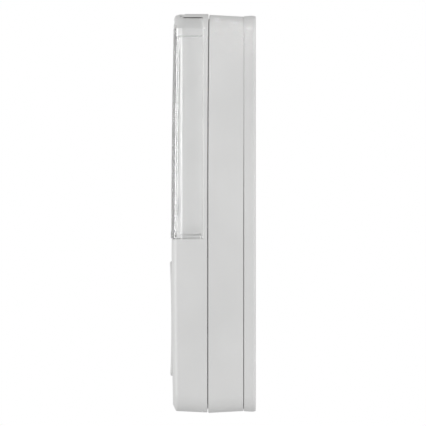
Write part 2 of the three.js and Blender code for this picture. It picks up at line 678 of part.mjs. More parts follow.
function electronics() {
  const group = new THREE.Group();
  group.add(node("main_pcb", mainPcb(), BOARD));
  const relay = slab(roundedRectangle(20.2, 11, 0.6), [-6.2, -16.7]);
  group.add(node("relay_heating", relay, RELAY_CASE, [-19, 0, 46.5]));
  group.add(node("relay_hot_water", relay, RELAY_CASE, [-19, 0, 34.8]));
  const mainsCapacitor = slab(roundedRectangle(18, 8.5, 0.8), [-6.7, -16.7]);
  group.add(node("mains_capacitor", mainsCapacitor, FILM_CAP, [11, 0, 45.5]));
  group.add(node("smoothing_capacitor", rod("y", 4, backPart(10), { x: 27.5, z: 46 }, 24), BLACK));
  group.add(node("varistor", rod("x", 4.5, [5.5, 9.0], { y: -12.2, z: 35 }, 20), RELAY_CASE));
  group.add(node("fuse", rod("y", 4.2, backPart(7.7), { x: 18, z: 35 }, 20), BLACK));
  group.add(node("microcontroller", block([-5, 5], backPart(1.4), [-15, -5]), BLACK));
  group.add(node("quartz_crystal", block([12, 21], backPart(1.5), [-12, -8.5]), STEEL));
  group.add(node("backup_cell", rod("y", 10, [-14.4, -16.6], { z: -47 }, 32), STEEL));
  group.add(node("cell_clip", cellClip(), STEEL));
  const blade = block([-0.4, 0.4], [-5, -16.7], BLADE_Z);
  terminalXs.forEach((x, i) => group.add(node(`contact_blade_${i + 1}`, blade, BRASS, [x, 0, 0])));
  return group;
}

function display() {
  const group = new THREE.Group();
  const { z, width, height } = WINDOW;
  const guideHeight = 34;
  group.add(node("display_window", plateY([-23.95, RECESS_FACE_Y], width, height, z, 2), CLEAR));
  group.add(node("lcd_glass", plateY([-20.2, -22.2], LCD.width, LCD.height, z), LCD_GLASS));
  const lcdFrame = frameAround(LCD.width + 0.8, LCD.height + 0.8, 1.9, [-18.9, -22.25], z);
  group.add(node("lcd_frame", lcdFrame, LIGHT_GUIDE));
  group.add(node("light_guide", plateY([-18.9, -19.9], LCD.width, guideHeight, z + 2.6), LIGHT_GUIDE));
  group.add(node("contact_strip", block([-27, 27], [-18.9, -19.9], [14.9, 17.3]), RUBBER));
  return group;
}

function controls() {
  const group = new THREE.Group();
  group.add(node("keypad_mat", keypadMat(), RUBBER));
  const key = programKey();
  PROGRAM_KEY.xs.forEach((x, i) => group.add(node(`program_key_${i + 1}`, key, KEYS, [x, 0, KEY_ROW_Z])));
  group.add(node("slide_switch", slideSwitch(), BLACK, [SLIDER.x, 0, KEY_ROW_Z]));
  group.add(node("mode_slider", modeSlider(), KEYS, [SLIDER.x, 0, KEY_ROW_Z]));
  group.add(node("rocker_key", rockerKey(), HOUSING));
  group.add(node("rocker_axle", rod("x", 1.0, [-14.2, 14.2], { y: ROCKER_AXLE_Y, z: ROCKER.z }, 16), STEEL));
  const round = overrideKey();
  [-1, 1].forEach((side) => {
    const end = side < 0 ? "left" : "right";
    const { x, z, r } = INDICATOR;
    group.add(node(`override_key_${end}`, round, HOUSING, [side * OVERRIDE_KEY.x, 0, OVERRIDE_KEY.z]));
    group.add(node(`indicator_lens_${end}`, rod("y", r, [-20.4, -27.75], { x: side * x, z }, 16), CLEAR));
    const led = block([side * x - 1.5, side * x + 1.5], [-18.9, -19.9], [z - 1, z + 1]);
    group.add(node(`indicator_led_${end}`, led, LIGHT_GUIDE));
  });
  return group;
}

function flapAssembly() {
  const group = new THREE.Group();
  group.add(node("flap", flap(), CLEAR));
  [-1, 1].forEach((side) => {
    const span = [side * 30.6, side * 38.4].sort((a, b) => a - b);
    const pin = rod("x", PIN_R, span, { y: HINGE_Y, z: HINGE_Z }, 12);
    group.add(node(`hinge_pin_${side < 0 ? "left" : "right"}`, pin, STEEL));
  });
  return group;
}

const programmer = new THREE.Group();
programmer.add(wallBase(), housings(), electronics(), display(), controls(), flapAssembly());

export default programmer;
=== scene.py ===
"""A wall-mounted heating programmer, seen square on from its right-hand side.

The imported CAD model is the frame. The shells, the clear flap, the keys and the display are built here
with finer shapes and stand for their CAD nodes; the other nodes stay, with materials. Shapes are worked
out in millimetres, in the frame's axes: X to the right seen from the front, Y into the wall, Z up.
"""

import json
import math

import bmesh
import bpy
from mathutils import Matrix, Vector

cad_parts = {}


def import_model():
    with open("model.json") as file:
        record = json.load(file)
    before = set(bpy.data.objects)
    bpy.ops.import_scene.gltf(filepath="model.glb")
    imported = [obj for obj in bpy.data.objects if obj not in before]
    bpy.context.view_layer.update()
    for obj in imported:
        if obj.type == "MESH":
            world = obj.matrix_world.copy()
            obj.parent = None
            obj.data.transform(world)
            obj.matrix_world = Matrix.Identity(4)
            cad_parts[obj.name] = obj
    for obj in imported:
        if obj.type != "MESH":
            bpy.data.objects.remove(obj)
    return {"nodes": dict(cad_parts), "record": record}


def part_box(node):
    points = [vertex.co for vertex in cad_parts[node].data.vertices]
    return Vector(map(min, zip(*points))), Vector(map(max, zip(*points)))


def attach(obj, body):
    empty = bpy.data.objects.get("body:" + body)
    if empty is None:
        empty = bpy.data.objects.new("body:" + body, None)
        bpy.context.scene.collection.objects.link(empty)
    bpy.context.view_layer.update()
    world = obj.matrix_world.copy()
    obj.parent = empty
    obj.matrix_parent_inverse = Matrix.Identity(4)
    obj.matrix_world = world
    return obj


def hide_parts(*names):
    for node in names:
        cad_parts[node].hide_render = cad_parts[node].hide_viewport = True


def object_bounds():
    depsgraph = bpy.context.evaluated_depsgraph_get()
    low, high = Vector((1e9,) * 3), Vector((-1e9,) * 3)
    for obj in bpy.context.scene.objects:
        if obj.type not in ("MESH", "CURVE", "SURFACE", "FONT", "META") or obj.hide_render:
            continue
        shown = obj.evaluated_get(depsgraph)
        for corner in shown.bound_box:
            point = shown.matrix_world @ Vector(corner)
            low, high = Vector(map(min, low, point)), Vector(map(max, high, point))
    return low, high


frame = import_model()
cad_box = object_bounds()
scene = bpy.context.scene

MM = 0.001

# ---- Sizes shared with the CAD source, in millimetres ----

WIDTH, HEIGHT = 90.0, 132.0
CORNER_R, EDGE_R = 6.0, 2.6
GAP = 0.3
PLATE_RISE, REAR_RISE, FRONT_RISE = -0.08, -0.13, 0.08
PLATE_FRONT_Y, REAR_BACK_Y, REAR_FRONT_Y, FRONT_BACK_Y = -3.93, -4.11, -15.76, -16.06
PLATE_FLOOR_Y = -2.2
FASCIA_Y, FLAP_Y, FLAP_LIP = -27.87, -27.98, 0.15
CROWN_Z, CROWN_R = -10.0, 3200.0
INSET_WALL, INSET_SEAM, REAR_BACK_INSET, REAR_FRONT_INSET = 0.43, 0.57, 0.68, 0.08
FRONT_DRAFT, END_DEPTH, TOP_STRETCH, BOTTOM_STRETCH = 0.0265, 0.42, 0.46, -0.15
FLAP_WALL, FLAP_BACK_Y, FLAP_SIDE_X = 1.6, -17.8, 41.4
FLAP_BOTTOM_Z, FLAP_TOP_Z = -8.2, 64.6
RECESS_BACK_Y, RECESS_FACE_Y, RECESS_INNER_Y = -17.5, -24.95, -22.9
RECESS_BOTTOM_Z, RECESS_TOP_Z, RECESS_SIDE_X = -8.5, 64.9, 41.1
NOTCH_Z, NOTCH_Y = 62.2, -23.6
HINGE_Y, HINGE_Z, KNUCKLE_R, PIN_R = -25.5, 64.2, 1.55, 0.6
GROOVE_X, GROOVE_FRONT_X, GROOVE_FRONT_Y = 34.0, 36.0, -25.2
LUG_X, LUG_TOP_Z, LUG_PIN_X = (33.2, 41.1), 65.9, (32, 38.8)
EAR_Z, FLAP_PIN_X = 58.8, (30.2, 34)
WINDOW_Z, WINDOW_W, WINDOW_H, WINDOW_LEDGE = 34.0, 63.0, 41.0, 2.0
LCD_FACE_Y = -22.2
KEY_ROW_Z, KEY_W, KEY_H, KEY_FRONT, KEY_BACK = 2.0, 9.0, 6.4, -25.15, -21.4
SLIDER_X, SLIDER_TRAVEL, KNOB_W, KNOB_H = 24.0, 4.5, 6.0, 4.0
ROCKER_Z, ROCKER_W, ROCKER_H, ROCKER_R = -35.4, 20.0, 38.5, 2.1
DISH_Z, DISH_Y, DISH_R = -37.5, -28.2, 440.0
ROCKER_AXLE_Y, ROCKER_POST_Z = -24.6, 13.0
OVERRIDE_X, OVERRIDE_Z, OVERRIDE_R = 29.0, -35.4, 5.5
OVERRIDE_FRONT, OVERRIDE_BACK = -27.95, -21.4
INDICATOR_X, INDICATOR_Z, INDICATOR_R = 29.0, -21.0, 1.5
CASE_SCREWS = [(-37, 50), (37, 50), (-37, -44), (37, -44)]
CAPTIVE_X, CAPTIVE_Y, HOOK_X = 26.0, -9.6, 24.0
POCKET_X, POCKET_Z, POCKET_Y, POCKET_WALL = 42.4, (-33.0, 27.0), -13.2, 1.6
TERMINAL_XS = [(i - 2.5) * 9.5 for i in range(6)]
BLADE_Z = (18.8, 23.8)
FAR = 60.0

# ---- Mesh helpers ----


def new_object(name, mesh):
    obj = bpy.data.objects.new(name, mesh)
    scene.collection.objects.link(obj)
    return obj


def solid(name, points, faces):
    """A closed mesh from points in millimetres, its doubled points merged and its faces turned out."""
    mesh = bpy.data.meshes.new(name)
    mesh.from_pydata([[c * MM for c in p] for p in points], [], faces)
    bm = bmesh.new()
    bm.from_mesh(mesh)
    bmesh.ops.remove_doubles(bm, verts=bm.verts, dist=1e-7)
    bmesh.ops.recalc_face_normals(bm, faces=bm.faces)
    bm.to_mesh(mesh)
    bm.free()
    return new_object(name, mesh)


def hoops(n, rows):
    """Faces between rows of n points, each row a ring."""
    return [
        (k * n + i, k * n + (i + 1) % n, (k + 1) * n + (i + 1) % n, (k + 1) * n + i)
        for k in range(rows - 1)
        for i in range(n)
    ]


def capped(n, rows):
    """hoops with a flat face at each end."""
    return hoops(n, rows) + [tuple(range(n)), tuple(range((rows - 1) * n, rows * n))]


def along_axis(axis, along, u, v):
    """A point from its place along an axis and on the other two, in X, Y, Z order."""
    return {"x": (along, u, v), "y": (u, along, v), "z": (u, v, along)}[axis]


def stack(name, rings):
    """A closed body through rings listed from back to front. Each ring is the right half from top to
    bottom, then the left half from bottom to top, so the end faces can follow a crowned surface."""
    n = len(rings[0])
    faces = hoops(n, len(rings))
    for first in (0, (len(rings) - 1) * n):
        faces += [
            (first + i, first + i + 1, first + n - 2 - i, first + n - 1 - i)
            for i in range(n // 2 - 1)
        ]
    return solid(name, [p for ring in rings for p in ring], faces)


def between(a, b, steps):
    return [a + (b - a) * i / steps for i in range(steps + 1)]


def crown(z):
    return (z - CROWN_Z) ** 2 / (2 * CROWN_R)


def half_outline(width, height, radius, arc=6, side=1):
    """The right half of a rounded rectangle, from top to bottom."""
    cx, cz = width / 2 - radius, height / 2 - radius
    upper = [
        (cx + radius * math.cos(a), cz + radius * math.sin(a))
        for a in between(math.pi / 2, 0, arc)
    ]
    middle = [(cx + radius, cz * (1 - 2 * i / side)) for i in range(1, side)]
    lower = [(x, -z) for x, z in reversed(upper)]
    return upper + middle + lower


def ring_of(width, height, radius, arc, side=1):
    """A whole rounded rectangle."""
    half = half_outline(width, height, radius, arc, side)
    return half + [(-x, z) for x, z in reversed(half)]


def tablet(name, width, height, radius, levels, at=(0, 0), bend=None, arc=6, side=1):
    """A block with a rounded-rectangle outline. levels are (depth, inset) from back to front, and bend
    adds to the depth by height."""
    rings = []
    for y, inset in levels:
        corner = max(radius - inset, 0.02)
        ring = []
        for x, z in ring_of(width - 2 * inset, height - 2 * inset, corner, arc, side):
            depth = y + (bend(at[1] + z) if bend else 0)
            ring.append((at[0] + x, depth, at[1] + z))
        rings.append(ring)
    return stack(name, rings)


def eased(back, front, radius, steps=4):
    """Levels of a block whose front edge is rounded."""
    return [(back, 0.0)] + [
        (front + radius * (1 - math.sin(a)), radius * (1 - math.cos(a)))
        for a in between(0, math.pi / 2, steps)
    ]


def mouth(deep, face, radius, steps=4):
    """Levels of a cutter whose hole opens out at the face in a small rounding."""
    last, lead, clearance = math.radians(72), 0.15, 3.0
    levels = [(deep, 0.0)] + [
        (face + radius * (1 - math.sin(a)), -radius * (1 - math.cos(a)))
        for a in between(0, last, steps)
    ]
    y, inset = levels[-1]
    levels.append((y - lead * math.cos(last), inset - lead * math.sin(last)))
    levels.append((face - clearance, inset - lead * math.sin(last)))
    return levels


def box(xs, ys, zs):
    points = [(x, y, z) for x in xs for y in ys for z in zs]
    faces = [(0, 1, 3, 2), (4, 6, 7, 5), (0, 4, 5, 1), (2, 3, 7, 6), (0, 2, 6, 4), (1, 5, 7, 3)]
    return solid("box", points, faces)


def boxes(xs, ys, zs):
    """The same box on the right and mirrored on the left."""
    return [box(xs, ys, zs), box((-xs[1], -xs[0]), ys, zs)]


def rod(axis, radius, span, at=(0, 0), sides=40, end=0.0):
    """A round bar along axis. at is its place on the other two axes, in X, Y, Z order; end takes a
    corner of that size off its ends."""
    first, last = span
    profile = [(first, radius), (last, radius)]
    if end:
        profile = [(first, radius - end), (first + end, radius)]
        profile += [(last - end, radius), (last, radius - end)]
    points = []
    for along, r in profile:
        for i in range(sides):
            a = 2 * math.pi * i / sides
            u, v = at[0] + r * math.cos(a), at[1] + r * math.sin(a)
            points.append(along_axis(axis, along, u, v))
    return solid("rod", points, capped(sides, len(profile)))


def prism(plan, axis, span):
    """A plan on the other two axes, in X, Y, Z order, drawn out along axis."""
    points = [along_axis(axis, along, u, v) for along in span for u, v in plan]
    return solid("prism", points, capped(len(plan), 2))


def shape(base, *steps):
    """Adds to, cuts from or keeps within the base, in the order of the steps: ("cut", [tools]) and so
    on. The tools are used up."""
    operations = {"add": "UNION", "cut": "DIFFERENCE", "keep": "INTERSECT"}
    used = []
    for word, tools in steps:
        for tool in tools if isinstance(tools, list) else [tools]:
            modifier = base.modifiers.new(word, "BOOLEAN")
            modifier.operation = operations[word]
            modifier.solver = "MANIFOLD"
            modifier.object = tool
            used.append(tool)
    graph = bpy.context.evaluated_depsgraph_get()
    mesh = bpy.data.meshes.new_from_object(base.evaluated_get(graph))
    base.modifiers.clear()
    base.data = mesh
    for tool in used:
        bpy.data.objects.remove(tool)
    bm = bmesh.new()
    bm.from_mesh(mesh)
    bmesh.ops.remove_doubles(bm, verts=bm.verts, dist=2e-7)
    bmesh.ops.dissolve_degenerate(bm, dist=1e-7, edges=bm.edges)
    bm.to_mesh(mesh)
    bm.free()
    return base


def smooth(obj, angle=28):
    """Smooth shading, with edges sharper than the angle kept sharp."""
    obj.data.polygons.foreach_set("use_smooth", [True] * len(obj.data.polygons))
    obj.data.set_sharp_from_angle(angle=math.radians(angle))
    weighted = obj.modifiers.new("weighted", "WEIGHTED_NORMAL")
    weighted.keep_sharp = True
    return obj


# ---- Materials ----


def map_range(tree, value, low, high, start, end):
    """value, from start to end, spread from low to high."""
    node = tree.nodes.new("ShaderNodeMapRange")
    numbers = (("From Min", start), ("From Max", end), ("To Min", low), ("To Max", high))
    for name, number in numbers:
        node.inputs[name].default_value = number
    tree.links.new(value, node.inputs["Value"])
    return node.outputs["Result"]


class Nodes:
    """A material's node tree, built a node at a time."""

    def __init__(self, name):
        self.material = bpy.data.materials.new(name)
        self.material.use_nodes = True
        self.tree = self.material.node_tree
        self.shader = self.tree.nodes["Principled BSDF"]
        self.output = self.tree.nodes["Material Output"]

    def add(self, kind, **values):
        node = self.tree.nodes.new(kind)
        for key, value in values.items():
            if hasattr(node, key):
                setattr(node, key, value)
            else:
                node.inputs[key.replace("_", " ")].default_value = value
        return node

    def link(self, source, target):
        self.tree.links.new(source, target)

    def place(self):
        """Points on the object in metres, as a texture's coordinate."""
        return self.add("ShaderNodeTexCoord").outputs["Object"]

    def noise(self, where, scale, detail=3.0, roughness=0.55):
        node = self.add("ShaderNodeTexNoise", Scale=scale, Detail=detail, Roughness=roughness)
        self.link(where, node.inputs["Vector"])
        return node.outputs["Fac"]

    def roughness(self, value, low, high):
        """Gloss that varies with a noise."""
        self.link(map_range(self.tree, value, low, high, 0.3, 0.7), self.shader.inputs["Roughness"])

    def base(self, value, low, high):
        """Base colour that varies with a noise, from low to high."""
        self.link(self.ramp(value, (0.3, low), (0.7, high)), self.shader.inputs["Base Color"])

    def ramp(self, value, *stops):
        """A colour for each stop: (place, (r, g, b))."""
        node = self.add("ShaderNodeValToRGB")
        elements = node.color_ramp.elements
        while len(elements) < len(stops):
            elements.new(0.5)
        for element, (place, colour) in zip(elements, stops):
            element.position = place
            element.color = (*colour, 1)
        self.link(value, node.inputs["Fac"])
        return node.outputs["Color"]

    def bump(self, height, strength, distance_mm):
        node = self.add("ShaderNodeBump", Strength=strength, Distance=distance_mm * MM)
        self.link(height, node.inputs["Height"])
        self.link(node.outputs["Normal"], self.shader.inputs["Normal"])
        return node


def shade(colour, factor):
    return tuple(min(1.0, c * factor) for c in colour)


def moulded(name, colour, roughness=0.5, texture_mm=0.28, depth_mm=0.012, spread=0.03):
    """Moulded plastic: a spark-eroded grain, and slight drifts of colour and gloss across the part."""
    n = Nodes(name)
    where = n.place()
    n.base(n.noise(where, 38, 2.0), shade(colour, 1 - spread), shade(colour, 1 + spread))
    grain = n.noise(where, 1 / (texture_mm * MM), 4.0, 0.6)
    n.roughness(grain, roughness - 0.05, roughness + 0.07)
    n.bump(grain, 0.35, depth_mm)
    n.shader.inputs["IOR"].default_value = 1.5
    return n.material


def clear(name, tint=(0.985, 0.987, 0.987), ior=1.5, roughness=0.03, smoke=0.0):
    """Clear moulded plastic that lets the lamps' light through to what lies behind it. smoke darkens it
    along the way through, so that it shows edge on."""
    n = Nodes(name)
    where = n.place()
    n.base(n.noise(where, 55, 2.0), shade(tint, 0.99), shade(tint, 1.005))
    n.roughness(n.noise(where, 900, 3.0), roughness, roughness + 0.015)
    n.shader.inputs["Transmission Weight"].default_value = 1.0
    n.shader.inputs["IOR"].default_value = ior
    through = n.add("ShaderNodeBsdfTransparent")
    through.inputs["Color"].default_value = (1, 1, 1, 1)
    path = n.add("ShaderNodeLightPath")
    mix = n.add("ShaderNodeMixShader")
    n.link(path.outputs["Is Shadow Ray"], mix.inputs["Fac"])
    n.link(n.shader.outputs["BSDF"], mix.inputs[1])
    n.link(through.outputs["BSDF"], mix.inputs[2])
    n.link(mix.outputs["Shader"], n.output.inputs["Surface"])
    if smoke:
        inside = n.add("ShaderNodeVolumeAbsorption", Density=smoke)
        inside.inputs["Color"].default_value = (0.5, 0.5, 0.5, 1)
        n.link(inside.outputs["Volume"], n.output.inputs["Volume"])
    return n.material


def metal(name, colour, roughness=0.32, grain=(40, 900, 40)):
    """Plated or stamped metal, with fine marks drawn out along one axis."""
    n = Nodes(name)
    scaled = n.add("ShaderNodeMapping")
    scaled.inputs["Scale"].default_value = grain
    n.link(n.place(), scaled.inputs["Vector"])
    marks = n.noise(scaled.outputs["Vector"], 6.0, 4.0)
    n.base(marks, shade(colour, 0.88), shade(colour, 1.06))
    n.roughness(marks, roughness - 0.08, roughness + 0.12)
    n.shader.inputs["Metallic"].default_value = 1.0
    n.bump(marks, 0.15, 0.01)
    return n.material


def circuit_board(name):
    """Green solder resist over copper tracks."""
    n = Nodes(name)
    where = n.place()
    cells = n.add("ShaderNodeTexVoronoi", distance="MANHATTAN", feature="F1", Scale=260)
    n.link(where, cells.inputs["Vector"])
    over_copper, bare = (0.012, 0.13, 0.055), (0.03, 0.24, 0.1)
    tracks = n.ramp(cells.outputs["Distance"], (0.42, over_copper), (0.46, bare))
    n.link(tracks, n.shader.inputs["Base Color"])
    n.roughness(n.noise(where, 700), 0.3, 0.42)
    n.bump(cells.outputs["Distance"], 0.2, 0.03)
    return n.material


HOUSING_WHITE = (0.74, 0.74, 0.735)
MATERIALS = {
    "housing": moulded("housing_abs", HOUSING_WHITE, 0.36),
    "wall_plate": moulded("wall_plate_abs", (0.735, 0.735, 0.73), 0.42),
    "rocker": moulded("rocker_abs", (0.715, 0.715, 0.71), 0.42, 0.2, 0.006),
    "flap": clear("flap_polycarbonate", roughness=0.005, smoke=5.5),
    "window": clear("window_acrylic", (0.94, 0.95, 0.94), 1.49),
    "lens": moulded("lens_milky", (0.72, 0.74, 0.7), 0.25, 0.5, 0.002),
    "keys": moulded("key_grey", (0.3, 0.31, 0.33), 0.46, 0.22, 0.008),
    "terminal_plastic": moulded("terminal_pa", (0.45, 0.47, 0.44), 0.48),
    "circuit_board": circuit_board("solder_resist"),
    "rubber": moulded("silicone", (0.3, 0.32, 0.33), 0.75, 0.4, 0.02),
    "lcd": moulded("lcd_film", (0.36, 0.41, 0.32), 0.22, 0.6, 0.001, 0.015),
    "light_guide": moulded("milky_pc", (0.8, 0.81, 0.76), 0.35),
    "black_plastic": moulded("black_epoxy", (0.018, 0.018, 0.02), 0.45, 0.2, 0.01, 0.1),
    "relay_case": moulded("relay_blue", (0.03, 0.11, 0.36), 0.4),
    "capacitor_case": moulded("capacitor_yellow", (0.62, 0.4, 0.05), 0.4),
    "varistor_coat": moulded("varistor_blue", (0.03, 0.1, 0.3), 0.35),
    "zinc_steel": metal("zinc_steel", (0.56, 0.57, 0.58)),
    "spring_steel": metal("spring_steel", (0.5, 0.5, 0.5), 0.26),
    "brass": metal("brass", (0.68, 0.5, 0.2), 0.3),
}
INK = moulded("print_grey", (0.13, 0.14, 0.15), 0.55, 0.3, 0.002)
BORDER = moulded("border_print", (0.2, 0.21, 0.22), 0.4, 0.4, 0.001)
LCD_INK = moulded("lcd_segment", (0.045, 0.05, 0.045), 0.4, 0.3, 0.001)


def dress(obj, slot, body="module", replaces=(), material=None):
    """Gives a new piece the material of its slot, or the one given, and its body, and hides the CAD
    nodes that it stands for. Print has no slot."""
    obj.data.materials.clear()
    obj.data.materials.append(material or MATERIALS[slot])
    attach(obj, body)
    if replaces:
        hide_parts(*replaces)
    return obj


# ---- Shells ----


def smoothstep(value, start, end):
    t = min(max((value - start) / (end - start), 0.0), 1.0)
    return t * t * (3 - 2 * t)


def front_draft(y):
    return FRONT_DRAFT * (FRONT_BACK_Y - y)


def gap_bend(z):
    """The shadow gap bows towards the wall near the top."""
    return 0.32 * (max(z, 0) / 59) ** 2


def joint_bend(z):
    """The joint at the wall plate closes up towards the hooks."""
    return 0.168 * smoothstep(z, -8, 42)


def shell_ring(y, inset, rise=0.0, crowned=False, radius=0.0, turn=0.0, bend=None, arc=12, side=26):
    """One level of the module's outline. radius and turn place it on the front edge's rounding: a turn
    of 0 is at the side, and a right angle at the front. Along the ends that rounding is shallower."""
    corner = max(CORNER_R - inset, 0.6)
    cx, cz = WIDTH / 2 - inset - corner, HEIGHT / 2 - inset - corner
    upper = [
        (cx + corner * math.cos(a), cz + corner * math.sin(a), math.sin(a) ** 2)
        for a in between(math.pi / 2, 0, arc)
    ]
    middle = [(cx + corner, cz * (1 - 2 * i / side), 0.0) for i in range(1, side)]
    right = upper + middle + [(x, -z, end) for x, z, end in reversed(upper)]
    flat, upright = 1 - math.sin(turn), math.cos(turn)
    ring = []
    for x, z, end in right + [(-x, z, end) for x, z, end in reversed(right)]:
        depth = radius * ((1 - end) * flat + end * END_DEPTH * (0.3 * flat + 0.7 * upright))
        stretch = -TOP_STRETCH if z > 0 else BOTTOM_STRETCH
        at = z + rise + end * stretch * radius * (1 - upright)
        curve = (crown(z) if crowned else 0) + (bend(z) if bend else 0)
        ring.append((x, y + depth + curve, at))
    return ring


def front_form(inset, front_y, radius, back_y=FRONT_BACK_Y, back_r=0.0, steps=8):
    """The module's crowned front, offset inwards, with a rounded front edge and an eased rear one."""
    rings = []
    for a in between(math.pi / 2, 0, 3) if back_r else [0.0]:
        y = back_y - back_r * (1 - math.sin(a))
        inwards = inset + front_draft(y) + back_r * (1 - math.cos(a))
        rings.append(shell_ring(y, inwards, FRONT_RISE + front_draft(y), bend=gap_bend))
    for turn in between(0, math.pi / 2, steps):
        y = front_y + radius * (1 - math.sin(turn))
        inwards = inset + front_draft(y) + radius * (1 - math.cos(turn))
        rings.append(shell_ring(front_y, inwards, FRONT_RISE + front_draft(y), True, radius, turn))
    return stack("front_form", rings)


def recess_side(out):
    """Plan of the recess's right-hand side, from the core out to the strip behind the flap's rear edge.
    out is a hair's breadth, so that two cutters don't share a face."""
    r, edge_x = 0.4, WIDTH / 2 - front_draft(RECESS_BACK_Y)
    plan = [(RECESS_SIDE_X + out, RECESS_BACK_Y - out)]
    for a in between(0, math.radians(80), 5):
        plan.append((edge_x - r + r * math.sin(a), RECESS_BACK_Y - out + r * (1 - math.cos(a))))
    return plan + [(FAR, plan[-1][1] + 0.05)]


def recess():
    """What the flap closes: the fascia set back, and the sides cut back to a core with rounded edges. A
    groove in the core marks off a seat for the flap's feet."""
    r, groove_deep, hair = 0.9, 0.6, 0.004
    groove_z = (FLAP_BOTTOM_Z + 1.05, FLAP_BOTTOM_Z + 1.4)
    corner = [
        (RECESS_SIDE_X - r * (1 - math.sin(a)), RECESS_FACE_Y + r * (1 - math.cos(a)))
        for a in between(0, math.pi / 2, 6)
    ]
    right = corner + recess_side(0) + [(FAR, -FAR)]
    whole = right + [(-x, y) for x, y in reversed(right)]
    above = recess_side(hair) + [(FAR, -FAR), (RECESS_SIDE_X + hair, -FAR)]
    tools = [prism(whole, "z", (RECESS_BOTTOM_Z, NOTCH_Z + 1))]
    for side in (-1, 1):
        plan = [(side * x, y) for x, y in above]
        tools.append(prism(plan, "z", (NOTCH_Z + 0.5, RECESS_TOP_Z)))
        xs = sorted((side * (RECESS_SIDE_X - groove_deep), side * FAR))
        tools.append(box(xs, (-FAR, FLAP_BACK_Y - 0.4), groove_z))
    return tools


def pin_holes(span, sides):
    """Cutters for the hinge pins' holes, one on each side."""
    return [
        rod("x", PIN_R + GAP, sorted(side * x for x in span), (HINGE_Y, HINGE_Z), sides)
        for side in (-1, 1)
    ]


def front_shell():
    """The front housing, cut back where the flap closes over it."""
    wall, inner_y = 1.9, -25.9
    outer = front_form(0, FASCIA_Y, EDGE_R, back_r=0.25)
    rim = stack("rim", [shell_ring(y, wall, FRONT_RISE) for y in (FRONT_BACK_Y + 1, -16.8)])
    lower = shape(
        front_form(wall, inner_y, EDGE_R - wall, FRONT_BACK_Y + 1, steps=4),
        ("keep", box((-FAR, FAR), (-FAR, FAR), (-FAR - 10, RECESS_BOTTOM_Z - 1.6))),
    )
    upper = box((-39.5, 39.5), (RECESS_INNER_Y, FRONT_BACK_Y + 1), (RECESS_BOTTOM_Z - 2, 63.6))

    notch = box((-FAR, FAR), (-FAR, NOTCH_Y), (NOTCH_Z, FAR + 20))

    lugs = []
    for side in (-1, 1):
        xs = sorted(side * x for x in LUG_X)
        lugs.append(rod("x", KNUCKLE_R, xs, (HINGE_Y, HINGE_Z), 32))
        lugs.append(box(xs, (HINGE_Y + 0.1, NOTCH_Y + 0.5), (NOTCH_Z - 0.3, LUG_TOP_Z)))
        lugs.append(box(xs, (HINGE_Y - 0.45, NOTCH_Y + 0.4), (NOTCH_Z - 1.1, HINGE_Z)))
    pins = pin_holes(LUG_PIN_X, 16)

    # The gap above the flap's ears, run into the lugs
    groove_z = (FLAP_TOP_Z - 0.05, RECESS_TOP_Z - 0.003)
    grooves = boxes((GROOVE_FRONT_X, FAR), (GROOVE_FRONT_Y, NOTCH_Y + 0.4), groove_z)
    grooves += boxes((GROOVE_X, FAR), (NOTCH_Y + 0.39, RECESS_BACK_Y - 0.3), groove_z)
    holes = []
    window = (WINDOW_W + 2 * GAP, WINDOW_H + 2 * GAP)
    holes.append(tablet("cut", *window, 2.3, mouth(-23.65, RECESS_FACE_Y, 0.15), (0, WINDOW_Z)))
    window = (WINDOW_W - 2 * WINDOW_LEDGE, WINDOW_H - 2 * WINDOW_LEDGE)
    holes.append(tablet("cut", *window, 1, [(-21, 0), (-26, 0)], (0, WINDOW_Z)))
    for x in key_xs():
        size = (KEY_W + 2 * GAP, KEY_H + 2 * GAP)
        levels = mouth(-21, RECESS_FACE_Y, 0.25)
        holes.append(tablet("cut", *size, size[1] / 2 - 0.01, levels, (x, KEY_ROW_Z), arc=10))
    slot = (KNOB_W + 2 * SLIDER_TRAVEL + 1.6, KNOB_H + 2 * GAP + 0.4)
    holes.append(tablet("cut", *slot, 1, mouth(-21, RECESS_FACE_Y, 0.25), (SLIDER_X, KEY_ROW_Z)))
    levels = mouth(-24, FASCIA_Y, 0.3)
    rocker = (ROCKER_W + 0.7, ROCKER_H + 0.8)
    holes.append(tablet("cut", *rocker, 2.4, levels, (0, ROCKER_Z), crown, side=8))
    for side in (-1, 1):
        d, place = 2 * (OVERRIDE_R + 0.35), (side * OVERRIDE_X, OVERRIDE_Z)
        holes.append(tablet("cut", d, d, d / 2, mouth(-24, FASCIA_Y, 0.4), place, crown, 14))
        d, place = 2 * (INDICATOR_R + GAP), (side * INDICATOR_X, INDICATOR_Z)
        holes.append(tablet("cut", d, d, d / 2, mouth(-24, FASCIA_Y, 0.2), place, crown, 8))
    shell = shape(
        outer,
        ("cut", [rim, lower, upper, *recess(), notch]),
        ("add", lugs),
        ("cut", pins + grooves + holes),
    )
    shell.name = "front_shell"
    return dress(smooth(shell), "housing", replaces=["front_housing"])


def key_xs():
    """The middles of the program keys, from the CAD nodes."""
    xs = []
    for i in range(1, 5):
        low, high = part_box(f"program_key_{i}")
        xs.append((low.x + high.x) / 2 / MM)
    return xs


